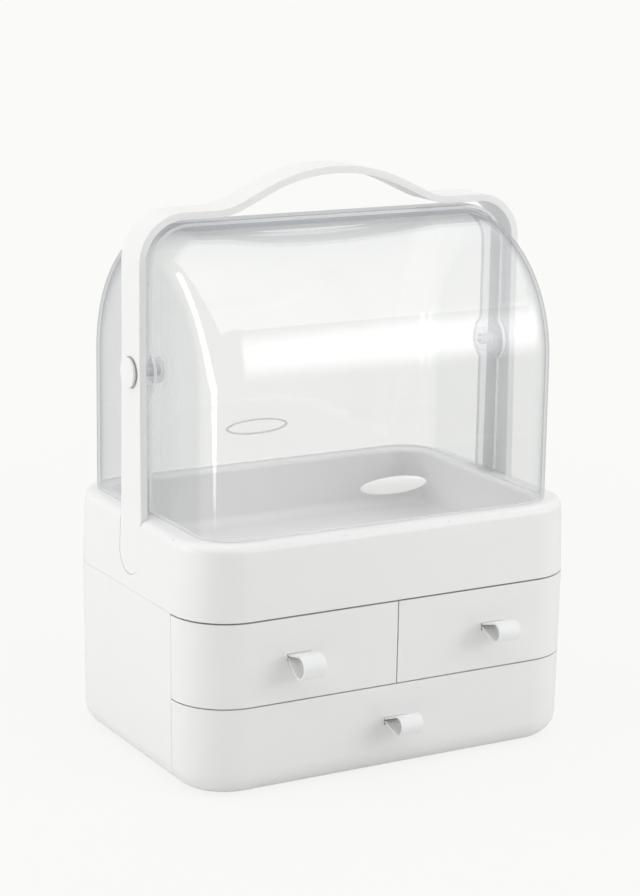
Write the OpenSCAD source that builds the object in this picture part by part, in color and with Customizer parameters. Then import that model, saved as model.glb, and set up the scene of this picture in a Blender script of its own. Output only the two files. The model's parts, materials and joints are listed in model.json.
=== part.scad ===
// Dustproof makeup organizer: a drawer case under an open tray, with two clear
// half covers that swing on one axle through the legs of a carry handle.
// Lengths are millimetres, +Z is up, the front faces -Y and the middle of the
// footprint is the origin, on the surface that the organizer stands on.

/* [Case] */
// Width at the seam between case and tray
case_w = 300; // [285:1:320]
// Depth at the same seam
case_d = 211; // [204:1:225]
// Height of the drawer case up to the tray
case_h = 121; // [116:1:130]
// Plan radius of the upright corners
corner_r = 39; // [36:1:42]
// Radius of the rounding under the case
belly_r = 17; // [14:1:20]
// How far each wall draws in from the seam to the base
case_draft = 1.15; // [0.4:0.05:2]
// Wall of the case
case_wall = 2.4; // [2:0.1:2.8]

/* [Tray] */
// Height of the tray above the case
tray_h = 51; // [48:1:60]
// How far each tray wall draws in towards the rim
tray_draft = 1.55; // [0.6:0.05:2.2]
// Wall of the tray skirt
tray_wall = 2.4; // [2:0.1:3]
// Rounding of the outer edge of the rim
rim_r = 6; // [4:0.5:7]
// Distance from the side of the case to the mouth of the tub
tub_side = 22.5; // [21:0.5:26]
// Distance from the front or back of the case to the mouth of the tub
tub_end = 18; // [16:0.5:22]
// Plan radius of the tub corners
tub_r = 20; // [14:1:28]
// Wall of the tub
tub_wall = 2.2; // [1.6:0.1:3]
// Thickness of the tub floor
tub_floor = 2.5; // [1.8:0.1:3.2]
// Height of the underside of the tub floor above the seam
tub_lift = 6; // [5:0.5:9]
// Fillet between the tub walls and floor
tub_fillet = 8; // [4:1:12]
// Rounding of the mouth of the tub
mouth_r = 3; // [1:0.5:4]

/* [Drawers] */
// Height of the top edge of the bottom drawer front
low_front_h = 61.7; // [58:0.1:66]
// Thickness of the drawer fronts
front_t = 3; // [2.6:0.1:3.6]
// Gap between the fronts of neighbouring drawers
front_gap = 0.9; // [0.6:0.1:1.4]
// Gap between the upper fronts and the tray
seam_gap = 1; // [0.6:0.1:1.6]
// How far the fronts reach back round the corners
wrap = 41; // [40:0.5:44]
// Gap behind the ends of the fronts, and round the lip of the bottom one
end_gap = 0.25; // [0.2:0.05:0.5]
// Thickness of the shelf between the drawers
shelf_t = 2.4; // [2:0.1:3]
// Thickness of the divider between the upper drawers
divider_t = 2.4; // [2:0.1:3]
// Wall of the drawer boxes
box_wall = 1.8; // [1.4:0.1:2.4]
// Clearance between the lip of the bottom front and the standing surface
lip_gap = 0.25; // [0.2:0.05:0.6]
// Clearance round the drawer boxes
box_gap = 0.75; // [0.6:0.05:1]
// Height of the runner ribs that the boxes slide on
rib_h = 0.45; // [0.3:0.05:0.5]
// Width of the runner ribs
rib_w = 4; // [3:0.5:5]
// Distance of the outer runner ribs of the upper drawers from the side
rib_in = 32; // [26:1:40]
// How far the box walls stop below the top of the fronts
box_drop = 8; // [7:0.5:12]
// Distance from the back of the case to the boxes
box_end = 8.5; // [8:0.5:14]
// How far a drawer pulls out before its stop
travel = 140; // [110:5:150]

/* [Pulls] */
// Width of the strap that each pull is folded from
strap_w = 17; // [12:0.5:22]
// Thickness of the strap
strap_t = 1.4; // [1:0.1:1.8]
// Outer radius of the nose of the loop
loop_r = 7; // [6:0.5:8]
// How far the loop stands out from the front
loop_out = 22.7; // [20:0.1:28]
// How high the nose of the bottom pull stands above its slot
low_rise = 1.3; // [-4:0.1:2]
// How high the nose of the right pull stands above its slot
right_rise = 0; // [-4:0.1:2]
// How high the nose of the left pull stands above its slot
left_rise = -3.3; // [-4:0.1:2]
// Height of the slot in the front
slot_h = 5.2; // [4:0.1:6]
// Height of the pull on the bottom drawer
low_pull_z = 36.5; // [34:0.5:42]
// Height of the two upper pulls above the shelf
high_pull_rise = 30.4; // [26:0.1:34]
// Distance of the upper pulls from the middle
high_pull_x = 75.5; // [65:0.5:90]

/* [Covers] */
// Depth of the pair of covers, and the diameter of their arch
cover_d = 197.2; // [195:0.2:198]
// Radius of the upright corners and of the arch edges
cover_r = 29; // [24:1:32]
// Wall of the covers
cover_t = 2.2; // [1.8:0.1:2.6]
// Air between the nested covers
nest_gap = 1.8; // [1.4:0.1:2.4]
// Height of the hinge axis above the rim of the tray
axis_rise = 98; // [94:1:104]
// How far each cover reaches past the hinge axis
cover_lap = 9; // [6:0.5:11]
// Radius of the ears round the hinge
ear_r = 16.5; // [15:0.5:19]
// Radius of the lower corners at the open edge of the covers
heel_r = 4; // [2:0.5:6]
// Gap between the foot of the covers and the rim
seat_gap = 0.5; // [0.5:0.1:0.8]
// Width of the oval on each cover
oval_w = 51; // [40:1:60]
// Height of the oval
oval_h = 11.6; // [9:0.2:14]
// Height of the middle of the ovals above the rim
oval_rise = 26; // [20:1:40]
// Thickness of the white oval on the front cover
oval_t = 2.2; // [1.8:0.1:2.6]

/* [Handle] */
// Width of the strap of the handle
handle_w = 27.5; // [24:0.5:28]
// Width of the legs where they enter the tray
leg_foot_w = 31; // [30:0.5:34]
// Thickness of the handle
handle_t = 5; // [4:0.5:5.5]
// How far the legs stand inside the width of the case
leg_inset = 2; // [1.8:0.1:2.4]
// Space between the rear cover and each leg
leg_gap = 4.5; // [4:0.1:5.2]
// Space between the top of the covers and the flat part of the handle
top_gap = 2.9; // [2:0.1:5]
// Outer radius of the shoulders
shoulder_r = 33; // [31:1:38]
// How far the grip rises above the shoulders
crown_rise = 25.2; // [22:0.2:28]
// Outer radius of the crown of the grip
crown_r = 124; // [110:1:130]
// Radius of the dips on both sides of the grip
dip_r = 45; // [38:1:50]
// Slope between the crown and the dips
crown_slope = 25; // [23:0.5:27]
// How far the legs reach down below the rim
leg_sink = 40.5; // [36:0.5:42]
// Gap round the legs in the tray
slot_gap = 0.3; // [0.2:0.05:0.5]

/* [Pivots] */
// Radius of the pins that the covers turn on
pin_r = 4; // [3:0.25:5]
// Running clearance of the covers on the pins, radial
pin_fit = 0.06; // [0.03:0.01:0.09]
// Radius of the round caps
cap_r = 10.2; // [9.5:0.1:11]
// Thickness of the caps
cap_t = 2.3; // [1.6:0.1:3]
// Air between a cap and the leg
cap_air = 0.8; // [0.4:0.1:1.2]
// Depth of the round seat in the leg
cup_depth = 1.5; // [1:0.1:2]
// Radius of the neck behind the cap
neck_r = 7.6; // [6.5:0.1:8.5]
// Radius of the knob that holds the pin inside
knob_r = 8.75; // [7:0.25:10]
// Length of the knob
knob_l = 5.5; // [4:0.5:7]
// Radius of the hub on the outside of the rear cover
hub_r = 13; // [11:0.5:14.5]
// Axial clearance between the pieces on the pins
side_play = 0.3; // [0.2:0.05:0.4]

/* [Fixings] */
// Radius of the screw threads
screw_r = 1.4; // [1.2:0.05:1.6]
// Radius of the screw heads
screw_head = 3; // [2.6:0.1:3.4]
// Height of the screw heads
head_h = 2; // [1.6:0.1:2.4]
// Length of the screws at the back of the tray
back_screw_l = 12; // [9:0.5:13]
// Length of the screws in the head of the divider
head_screw_l = 4.6; // [4:0.1:4.8]
// Distance of the back screws from the middle
back_screw_x = 80; // [60:1:95]
// Distance of the divider screws from the middle
divider_screw_y = 45; // [30:1:60]
// Distance of the divider screws from the divider
divider_screw_x = 5.2; // [5:0.1:5.6]
// Half width of the head of the divider
tee_w = 9; // [8.8:0.1:10]
// Thickness of the head of the divider
tee_t = 2.5; // [2:0.1:3]
// Thickness of the brackets of the case
bracket_t = 2.5; // [2:0.1:3]
// Thickness of the drawer stops
stop_t = 2.5; // [2:0.1:3]
// Height of the tabs that meet the stops
tab_h = 4; // [3.4:0.1:4.4]

/* [Feet] */
// Radius of the feet
foot_r = 7; // [5:0.5:9]
// Thickness of the feet, which lie level with the underside
foot_h = 1.2; // [0.8:0.1:1.6]

/* [Hidden] */
$fn = 96;
seam_z = case_h;
rim_z = case_h + tray_h;
axis_z = rim_z + axis_rise;
hx = case_w / 2 - corner_r;
hy = case_d / 2 - corner_r;
wrap_y = -case_d / 2 + wrap;
shelf_z = low_front_h + front_gap / 2 - shelf_t + 0.2;
shelf_top = shelf_z + shelf_t;
high_front_z = low_front_h + front_gap;
high_front_top = seam_z - seam_gap;
box_in = max(case_wall + box_gap, front_t + 0.15);
low_box_top = low_front_h - box_drop + 1.5;
high_box_top = high_front_top - box_drop;
box_y = case_d / 2 - box_end;
inner_y = case_d / 2 - front_t - 0.8;
high_pull_z = shelf_top + high_pull_rise;
tub_x = case_w / 2 - tub_side;
tub_y = case_d / 2 - tub_end;
floor_z = seam_z + tub_lift + tub_floor;
leg_out = case_w / 2 - leg_inset;
leg_in = leg_out - handle_t;
rear_x = leg_in - leg_gap;
rear_rad = cover_d / 2;
front_x = rear_x - cover_t - nest_gap;
front_rad = rear_rad - cover_t - nest_gap;
front_r = cover_r - cover_t - nest_gap;
flat_z = axis_z + rear_rad + top_gap + handle_t;
leg_end = rim_z - leg_sink;
back_screw_y = tub_y + tub_wall + 6;
bracket_z = high_box_top + 4.5;
tee_z = seam_z + tub_lift - 3 - tee_t;
white = [0.93, 0.93, 0.92];
clear = [0.86, 0.89, 0.9, 0.35];

// A block with rounded upright corners whose section is the child, drawn with
// x from the corner centres outwards and y as the height.
module swept(ax, ay, lo, hi) {
    for (c = [[ax, ay, 0], [-ax, ay, 90], [-ax, -ay, 180], [ax, -ay, 270]])
        translate([c[0], c[1], 0]) rotate([0, 0, c[2]]) rotate_extrude(angle = 90) children();
    for (a = [0, 180]) rotate([0, 0, a]) {
        translate([ax, 0, 0]) rotate([90, 0, 0]) linear_extrude(2 * ay, center = true) children();
        rotate([0, 0, 90]) translate([ay, 0, 0]) rotate([90, 0, 0])
            linear_extrude(2 * ax, center = true) children();
    }
    translate([-ax, -ay, lo]) cube([2 * ax, 2 * ay, hi - lo]);
}

// Section of the case, drawn in by ins all over, with the belly rounding.
module case_section(ins, top) {
    t = case_draft / case_h;
    s = sqrt(1 + t * t);
    cx = corner_r - case_draft + t * belly_r - belly_r * s;
    r = belly_r - ins;
    polygon([[0, ins], [cx, ins], [cx + r / s, belly_r - r * t / s],
        [corner_r - case_draft + t * top - ins * s, top], [0, top]]);
    translate([cx, belly_r]) circle(r);
}

module case_form(ins, top) swept(hx, hy, ins, top) case_section(ins, top);

// Section of the tray, drawn in by ins, with the rounded rim.
module tray_section(ins, low) {
    t = tray_draft / tray_h;
    s = sqrt(1 + t * t);
    cz = rim_z - rim_r;
    cx = corner_r - t * (cz - seam_z) - rim_r * s;
    r = rim_r - ins;
    polygon([[0, low], [corner_r - t * (low - seam_z) - ins * s, low],
        [cx + r / s, cz + r * t / s], [cx, rim_z - ins], [0, rim_z - ins]]);
    translate([cx, cz]) circle(r);
}

module tray_form(ins, low) swept(hx, hy, low, rim_z - ins) tray_section(ins, low);

// The part of space between two heights, in front of or behind a plane.
module slab(lo, hi, y0 = -500, y1 = 500, x0 = -500, x1 = 500)
    translate([x0, y0, lo]) cube([x1 - x0, y1 - y0, hi - lo]);

module case_shell() color(white) {
    flat_x = case_w / 2 - case_draft - belly_r - end_gap;
    flat_y = case_d / 2 - case_draft - belly_r - end_gap;
    difference() {
        intersection() {
            case_form(0, case_h);
            // the floor reaches forward under the bottom drawer
            union() {
                slab(-1, case_h + 1, wrap_y);
                slab(-1, case_wall, -flat_y, wrap_y + 4, -flat_x, flat_x);
            }
        }
        case_form(case_wall, case_h + 1);
        at_feet() translate([0, 0, -1]) cylinder(h = foot_h + 1, r = foot_r + 0.1);
    }
    // runner ribs of the bottom drawer
    for (x = [-case_w / 4, case_w / 4 - rib_w])
        slab(case_wall - 0.4, case_wall + rib_h, -flat_y + 4, box_y - 6, x, x + rib_w);
    // ledge that carries the shelf along the sides and the back
    intersection() {
        difference() {
            case_form(case_wall - 0.6, case_h);
            case_form(case_wall + 4, case_h + 1);
        }
        slab(shelf_z - 2.6, shelf_z, wrap_y + 3);
    }
    // brackets at the back for the screws of the tray
    for (x = [-back_screw_x, back_screw_x]) intersection() {
        case_form(case_wall - 0.6, case_h);
        difference() {
            slab(bracket_z, bracket_z + bracket_t, back_screw_y - 6, case_d, x - 9, x + 9);
            translate([x, back_screw_y, 0]) cylinder(h = case_h, r = screw_r + 0.3, $fn = 32);
        }
    }
    // guides for the back edge of the divider
    for (s = [-1, 1]) intersection() {
        case_form(case_wall - 0.6, case_h);
        translate([s * (divider_t / 2 + 0.25 + 1), 0, 0])
            slab(shelf_top + 1, tee_z - 3, box_y + 1.2, case_d, -1, 1);
    }
}

module mid_shelf() color(white) {
    intersection() {
        case_form(front_t + 0.8, case_h);
        slab(shelf_z, shelf_top, -inner_y);
    }
    // runner ribs of the upper drawers
    for (x = [-case_w / 2 + rib_in, -rib_in, rib_in - rib_w, case_w / 2 - rib_in - rib_w])
        slab(shelf_top - 0.4, shelf_top + rib_h, -inner_y + 6, box_y - 6, x, x + rib_w);
    // stop that the tab on the bottom drawer meets
    slab(low_box_top + 1.6, shelf_z + 0.4, box_y - box_wall - travel - 0.3 - stop_t,
        box_y - box_wall - travel - 0.3, -22, 22);
}

module centre_divider() color(white) {
    back = case_d / 2 - case_draft - case_wall - 0.3;
    slab(shelf_top, tee_z + tee_t, -inner_y, back, -divider_t / 2, divider_t / 2);
    // head that is screwed up into the bosses of the tray
    difference() {
        slab(tee_z, tee_z + tee_t, -divider_screw_y - tee_w, divider_screw_y + tee_w, -tee_w, tee_w);
        for (s = [-1, 1]) for (k = [-1, 1]) translate([k * divider_screw_x, s * divider_screw_y, 0])
            cylinder(h = seam_z + tray_h, r = screw_r + 0.3, $fn = 32);
    }
    // foot flange that stands on the shelf
    slab(shelf_top, shelf_top + 0.35, -inner_y, back - 6, -divider_t / 2 - 0.35,
        divider_t / 2 + 0.35);
}

// Outline of a leg in the side view, grown by g all round.
module leg_outline(g, top) {
    a = leg_foot_w / 2 + g;
    b = handle_w / 2 + g;
    mid = leg_end + leg_foot_w / 2;
    translate([0, mid]) circle(a);
    polygon([[-a, mid], [-a, rim_z], [-b, axis_z + 20], [-b, top], [b, top],
        [b, axis_z + 20], [a, rim_z], [a, mid]]);
}

// The same outline as a solid between two distances from the middle plane.
module leg_solid(g, x0, x1, top) translate([x0, 0, 0]) rotate([90, 0, 90])
    linear_extrude(x1 - x0) leg_outline(g, top);

module tub_cavity() {
    ax = tub_x - tub_r;
    ay = tub_y - tub_r;
    swept(ax, ay, floor_z, rim_z + 1) {
        union() {
            translate([0, floor_z]) square([tub_r - tub_fillet, rim_z + 1 - floor_z]);
            translate([0, floor_z + tub_fillet])
                square([tub_r, rim_z + 1 - floor_z - tub_fillet]);
            translate([tub_r - tub_fillet, floor_z + tub_fillet]) circle(tub_fillet);
            difference() {
                translate([0, rim_z - mouth_r]) square([tub_r + mouth_r, mouth_r + 1]);
                translate([tub_r + mouth_r, rim_z - mouth_r]) circle(mouth_r);
            }
        }
    }
}

module tray_body() {
    difference() {
        tray_form(0, seam_z + 0.15);
        tray_form(tray_wall, seam_z - 1);
    }
    // tub, whose corners run concentric with its mouth
    swept(tub_x - tub_r, tub_y - tub_r, floor_z - tub_floor, rim_z - 1) {
        o = tub_r + tub_wall;
        f = tub_fillet + tub_wall;
        union() {
            translate([0, floor_z - tub_floor]) square([o - f, rim_z - 1 - floor_z + tub_floor]);
            translate([0, floor_z - tub_floor + f])
                square([o, rim_z - 1 - floor_z + tub_floor - f]);
            translate([o - f, floor_z - tub_floor + f]) circle(f);
        }
    }
    // housings behind the two slots for the legs
    for (s = [0, 1]) mirror([s, 0, 0]) intersection() {
        leg_solid(slot_gap + 2, leg_in - slot_gap - 2, case_w / 2, rim_z + 20);
        tray_form(0.6, seam_z + 0.15);
    }
    // bosses over the brackets of the case, tied to the tub by a web
    for (x = [-back_screw_x, back_screw_x]) {
        translate([x, back_screw_y, bracket_z + bracket_t])
            cylinder(h = floor_z + 12 - bracket_z, r = 4, $fn = 48);
        slab(floor_z, floor_z + 11, tub_y + tub_wall - 0.5, back_screw_y, x - 1.5, x + 1.5);
    }
    // bosses over the head of the divider
    for (s = [-1, 1]) for (k = [-1, 1])
        translate([k * divider_screw_x, s * divider_screw_y, tee_z + tee_t])
            cylinder(h = floor_z - 1 - tee_z - tee_t, r = 3.4, $fn = 48);
    // stops that the tabs on the upper drawers meet
    for (s = [0, 1]) mirror([s, 0, 0])
        slab(high_box_top + 2, floor_z - 1, box_y - box_wall - travel - 0.3 - stop_t,
            box_y - box_wall - travel - 0.3, 34, 66);
    // ribs that stiffen the skirt from the rim down
    for (s = [0, 1]) mirror([s, 0, 0]) for (y = [-62, 62])
        slab(seam_z + 12, rim_z - 1.5, y - 1, y + 1, tub_x + tub_wall - 0.5,
            case_w / 2 - tray_draft - 1);
    for (s = [0, 1]) mirror([0, s, 0]) for (x = [-40, 40])
        slab(seam_z + 12, rim_z - 1.5, tub_y + tub_wall - 0.5, case_d / 2 - tray_draft - 1,
            x - 1, x + 1);
}

module top_tray() color(white) {
    difference() {
        tray_body();
        tub_cavity();
        for (s = [0, 1]) mirror([s, 0, 0]) {
            leg_solid(slot_gap, leg_in - slot_gap, case_w, rim_z + 20);
            // hole that the catch of the leg snaps into
            translate([leg_in - 6, 0, leg_end + 19]) rotate([0, 90, 0])
                cylinder(h = 8, r = 3.1, $fn = 48);
        }
        for (x = [-back_screw_x, back_screw_x])
            translate([x, back_screw_y, bracket_z])
                cylinder(h = back_screw_l + 2, r = screw_r + 0.05, $fn = 32);
        for (s = [-1, 1]) for (k = [-1, 1])
            translate([k * divider_screw_x, s * divider_screw_y, tee_z])
                cylinder(h = head_screw_l + 0.3, r = screw_r + 0.05, $fn = 32);
    }
}

// A pan-head screw whose head is below the point where it starts.
module screw(len) {
    translate([0, 0, -head_h]) cylinder(h = head_h, r = screw_head, $fn = 48);
    translate([0, 0, -0.01]) cylinder(h = len, r = screw_r, $fn = 32);
}

module tray_screws() color([0.7, 0.71, 0.73]) {
    for (x = [-back_screw_x, back_screw_x]) translate([x, back_screw_y, bracket_z])
        screw(back_screw_l);
    for (s = [-1, 1]) translate([s * divider_screw_x, s * divider_screw_y, tee_z])
        screw(head_screw_l);
}

// Places of the feet, seen from below.
module at_feet() for (x = [-1, 1]) for (y = [-1, 1])
    translate([x * (case_w / 2 - belly_r - foot_r - 14), y * (case_d / 2 - belly_r - foot_r - 8), 0])
        children();

module feet() color([0.8, 0.8, 0.8]) at_feet() cylinder(h = foot_h, r = foot_r);

// One drawer front: a skin of the case form with the slot of its pull and four
// staked studs that hold it on the box.
module front_skin(lo, hi, x0, x1, px, pz, studs) {
    y_in = -case_d / 2 + case_draft * (1 - pz / case_h);
    difference() {
        intersection() {
            case_form(0, case_h);
            slab(lo, hi, -case_d, wrap_y - end_gap, x0, x1);
        }
        case_form(front_t, case_h + 1);
        slab(pz - slot_h / 2, pz + slot_h / 2, -case_d, 0, px - strap_w / 2 - 0.4,
            px + strap_w / 2 + 0.4);
        // flat floor behind the lip of the bottom front
        slab(-1, front_t + 0.2, -case_d / 2 + case_draft + belly_r, 0,
            -case_w / 2 + case_draft + belly_r, case_w / 2 - case_draft - belly_r);
    }
    for (p = studs) translate([p[0], y_in + front_t - 0.5, p[1]]) rotate([-90, 0, 0]) {
        cylinder(h = box_in - front_t + box_wall + 0.8, r = 2, $fn = 32);
        translate([0, 0, box_in - front_t + box_wall + 0.8]) cylinder(h = 0.8, r = 3.2, $fn = 32);
    }
}

// One drawer box: the case form drawn in, cut off level and at the back.
module box(lo, hi, x0, x1, wx0, wx1, px, pz, studs, tab0, tab1) {
    difference() {
        intersection() {
            case_form(box_in, case_h);
            slab(lo, hi, -case_d, box_y, x0, x1);
        }
        intersection() {
            case_form(box_in + box_wall, case_h + 1);
            slab(lo + box_wall, hi + 1, -case_d, box_y - box_wall, wx0, wx1);
        }
        slab(pz - slot_h / 2, pz + slot_h / 2, -case_d, -hy, px - strap_w / 2 - 0.4,
            px + strap_w / 2 + 0.4);
        for (p = studs) translate([p[0], -case_d / 2, p[1]]) rotate([-90, 0, 0])
            cylinder(h = 20, r = 2.05, $fn = 32);
    }
    // tab on the back wall that meets the stop
    slab(hi - 3, hi + tab_h, box_y - box_wall, box_y, tab0, tab1);
}

// Side view of a pull: the strap leaves the slot, opens round a nose and comes
// back, and its two ends run inside to a bead behind the clip.
module pull(pz, rise) {
    face = -case_d / 2 + case_draft * (1 - pz / case_h);
    cy = face - loop_out + loop_r;
    d = norm([face - cy, rise]);
    b = asin(loop_r / d);
    t = strap_t;
    end = d * cos(b) + 0.3;
    back = -case_d / 2 + case_draft + box_in + box_wall + 3.4;
    translate([0, face, pz]) rotate([90, 0, -90]) rotate([0, 0, atan2(rise, face - cy)]) {
        translate([d, 0, 0]) difference() {
            cylinder(h = strap_w, r = loop_r, center = true);
            cylinder(h = strap_w + 1, r = loop_r - t, center = true);
            linear_extrude(strap_w + 2, center = true) polygon([[0, 0],
                3 * loop_r * [-sin(b), cos(b)], [-6 * loop_r, 0], 3 * loop_r * [-sin(b), -cos(b)]]);
        }
        // the two straight runs of the strap, a hair thinner than the nose
        for (k = [-1, 1]) linear_extrude(strap_w, center = true) {
            u = [cos(b), k * sin(b)];
            n = [sin(b), -k * cos(b)];
            polygon([0.03 * n, end * u + 0.03 * n, end * u + (t - 0.03) * n,
                (t / tan(b) - 0.4) * u + (t - 0.03) * n]);
        }
    }
    translate([-strap_w / 2, face - 3, pz - t]) cube([strap_w, back - face + 3, 2 * t]);
    translate([-strap_w / 2, back - 0.1, pz - 3.2]) cube([strap_w, 1.8, 6.4]);
}

// Bar behind the box wall that the ends of the strap pass through.
module clip(pz) {
    near = -case_d / 2 + case_draft + box_in + box_wall + 0.1;
    difference() {
        slab(pz - 6, pz + 6, near, near + 3, -strap_w / 2 - 5, strap_w / 2 + 5);
        slab(pz - strap_t - 0.1, pz + strap_t + 0.1, near - 1, near + 4,
            -strap_w / 2 - 0.1, strap_w / 2 + 0.1);
    }
}

high_lo = shelf_top + box_gap;
low_studs = [[-90, 20], [90, 20], [-90, 46], [90, 46]];
left_studs = [for (x = [-102, -22], z = [14, 42]) [x, high_front_z + z]];
right_studs = [for (p = left_studs) [-p[0], p[1]]];

module left_drawer_front() color(white)
    front_skin(high_front_z, high_front_top, -case_w, -front_gap / 2, -high_pull_x,
        high_pull_z, left_studs);
module left_drawer_box() color(white)
    box(high_lo, high_box_top, -case_w, -divider_t / 2 - box_gap, -case_w,
        -divider_t / 2 - box_gap - box_wall, -high_pull_x, high_pull_z, left_studs, -60, -40);
module left_pull_loop() color(white) translate([-high_pull_x, 0, 0])
    pull(high_pull_z, left_rise);
module left_pull_clip() color(white) translate([-high_pull_x, 0, 0]) clip(high_pull_z);

module right_drawer_front() color(white)
    front_skin(high_front_z, high_front_top, front_gap / 2, case_w, high_pull_x,
        high_pull_z, right_studs);
module right_drawer_box() color(white)
    box(high_lo, high_box_top, divider_t / 2 + box_gap, case_w,
        divider_t / 2 + box_gap + box_wall, case_w, high_pull_x, high_pull_z, right_studs, 40, 60);
module right_pull_loop() color(white) translate([high_pull_x, 0, 0])
    pull(high_pull_z, right_rise);
module right_pull_clip() color(white) translate([high_pull_x, 0, 0]) clip(high_pull_z);

module bottom_drawer_front() color(white)
    front_skin(lip_gap, low_front_h, -case_w, case_w, 0, low_pull_z, low_studs);
module bottom_drawer_box() color(white)
    box(0, low_box_top, -case_w, case_w, -case_w, case_w, 0, low_pull_z, low_studs, -10, 10);
module bottom_pull_loop() color(white) pull(low_pull_z, low_rise);
module bottom_pull_clip() color(white) clip(low_pull_z);

// Part of a ring between two angles, as a flat outline.
module arc_band(c, r0, r1, a0, a1) translate(c) intersection() {
    difference() {
        circle(r1, $fn = 240);
        circle(r0, $fn = 240);
    }
    m = (a0 + a1) / 2;
    polygon([[0, 0], 2 * r1 * [cos(a0), sin(a0)], 2.5 * r1 * [cos(m), sin(m)],
        2 * r1 * [cos(a1), sin(a1)]]);
}

// Half of the handle in the front view, from the middle of the grip to a leg.
// Neighbouring runs overlap a little, so that they join into one strap.
module handle_half() {
    a = crown_slope;
    t = handle_t;
    e = 0.3;
    x1 = crown_r * sin(a);
    drop = crown_rise - (crown_r + dip_r) * (1 - cos(a));
    x3 = x1 + drop / tan(a) + dip_r * sin(a);
    z1 = flat_z + crown_rise - crown_r * (1 - cos(a));
    run = drop / sin(a) + e;
    arc_band([0, flat_z + crown_rise - crown_r], crown_r - t, crown_r, 90 - a, 90.1);
    translate([x1, z1]) rotate(-a) translate([-e, -t]) square([run + e, t]);
    arc_band([x3, flat_z + dip_r], dip_r, dip_r + t, 270 - a, 270);
    translate([x3 - e, flat_z - t]) square([leg_out - shoulder_r - x3 + 2 * e, t]);
    arc_band([leg_out - shoulder_r, flat_z - shoulder_r], shoulder_r - t, shoulder_r, 0, 90);
    translate([leg_in, leg_end]) square([t, flat_z - shoulder_r - leg_end + e]);
}

module carry_handle() color(white) {
    difference() {
        union() {
            intersection() {
                rotate([90, 0, 0]) linear_extrude(leg_foot_w + 10, center = true)
                    for (s = [0, 1]) mirror([s, 0]) handle_half();
                leg_solid(0, -case_w, case_w, flat_z + crown_rise + 10);
            }
            // feet of the legs, level with the skirt of the tray
            for (s = [0, 1]) mirror([s, 0, 0]) intersection() {
                leg_solid(0, leg_in + 1, case_w, rim_z - 3);
                tray_form(0.1, seam_z);
            }
            // catches that snap into the tray
            for (s = [0, 1]) mirror([s, 0, 0]) translate([leg_in - 3, 0, leg_end + 19])
                rotate([0, 90, 0]) cylinder(h = 4, r = 3, $fn = 48);
        }
        for (s = [0, 1]) mirror([s, 0, 0]) translate([0, 0, axis_z]) rotate([0, 90, 0]) {
            cylinder(h = case_w, r = pin_r + 0.02);
            translate([0, 0, leg_out - cup_depth]) cylinder(h = 20, r = cap_r + 0.4);
        }
    }
}

// Solid under an arch: turned about the hinge axis above it, straight below it.
module arch(ax, rad, r, low) {
    translate([0, 0, axis_z]) rotate([0, 90, 0]) rotate([0, 0, 90])
        rotate_extrude(angle = 180, $fn = 180) {
            translate([0, -ax]) square([rad - r, 2 * ax]);
            translate([0, -ax + r]) square([rad, 2 * ax - 2 * r]);
            for (s = [-1, 1]) translate([rad - r, s * (ax - r)]) circle(r);
        }
    translate([0, 0, low]) linear_extrude(axis_z - low) {
        square([2 * ax, 2 * rad - 2 * r], center = true);
        square([2 * ax - 2 * r, 2 * rad], center = true);
        for (x = [-1, 1]) for (y = [-1, 1]) translate([x * (ax - r), y * (rad - r)]) circle(r);
    }
}

// One cover, open towards +Y: shell of the arch cut past the axis, with ears.
module half_cover(ax, rad, r) {
    low = rim_z + seat_gap;
    intersection() {
        difference() {
            arch(ax, rad, r, low);
            arch(ax - cover_t, rad - cover_t, r - cover_t, low - 5);
        }
        union() {
            difference() {
                slab(low - 1, axis_z + rad + 1, -case_d, cover_lap);
                // rounded lower corners at the open edge
                difference() {
                    slab(low - 2, low + heel_r, cover_lap - heel_r, cover_lap + 1);
                    translate([0, cover_lap - heel_r, low + heel_r]) rotate([0, 90, 0])
                        cylinder(h = 2 * case_w, r = heel_r, center = true, $fn = 48);
                }
            }
            translate([0, 0, axis_z]) rotate([0, 90, 0])
                cylinder(h = 2 * case_w, r = ear_r, center = true);
        }
    }
}

// Outline of an oval, as points on an ellipse.
module oval(w, h)
    polygon([for (i = [0 : 79]) [w / 2 * cos(i * 4.5), h / 2 * sin(i * 4.5)]]);

module front_cover() color(clear) difference() {
    union() {
        half_cover(front_x, front_rad, front_r);
        // thrust ring on each ear, towards the rear cover
        for (s = [0, 1]) mirror([s, 0, 0]) translate([front_x - 0.5, 0, axis_z]) rotate([0, 90, 0])
            cylinder(h = nest_gap - side_play + 0.5, r = hub_r - 2);
    }
    translate([0, 0, axis_z]) rotate([0, 90, 0])
        cylinder(h = 2 * case_w, r = pin_r + pin_fit, center = true);
}

module front_cover_oval() color(white)
    translate([0, -front_rad, rim_z + oval_rise]) rotate([90, 0, 0]) intersection() {
        linear_extrude(oval_t) oval(oval_w, oval_h);
        // crowned face
        translate([0, 0, oval_t - 240]) rotate([90, 0, 0])
            cylinder(h = 2 * oval_h, r = 240, center = true, $fn = 240);
    }

module rear_cover() color(clear) difference() {
    union() {
        mirror([0, 1, 0]) half_cover(rear_x, rear_rad, cover_r);
        // hub on each ear, towards the leg
        for (s = [0, 1]) mirror([s, 0, 0]) translate([rear_x - 0.5, 0, axis_z]) rotate([0, 90, 0])
            cylinder(h = leg_gap - side_play + 0.5, r = hub_r);
        // oval raised on the back
        translate([0, rear_rad - 0.5, rim_z + oval_rise]) rotate([-90, 0, 0])
            linear_extrude(1.3) oval(oval_w, oval_h);
    }
    translate([0, 0, axis_z]) rotate([0, 90, 0])
        cylinder(h = 2 * case_w, r = pin_r + pin_fit, center = true);
    translate([0, rear_rad + 0.4, rim_z + oval_rise]) rotate([-90, 0, 0])
        linear_extrude(2) oval(oval_w - 4, oval_h - 3);
}

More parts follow.
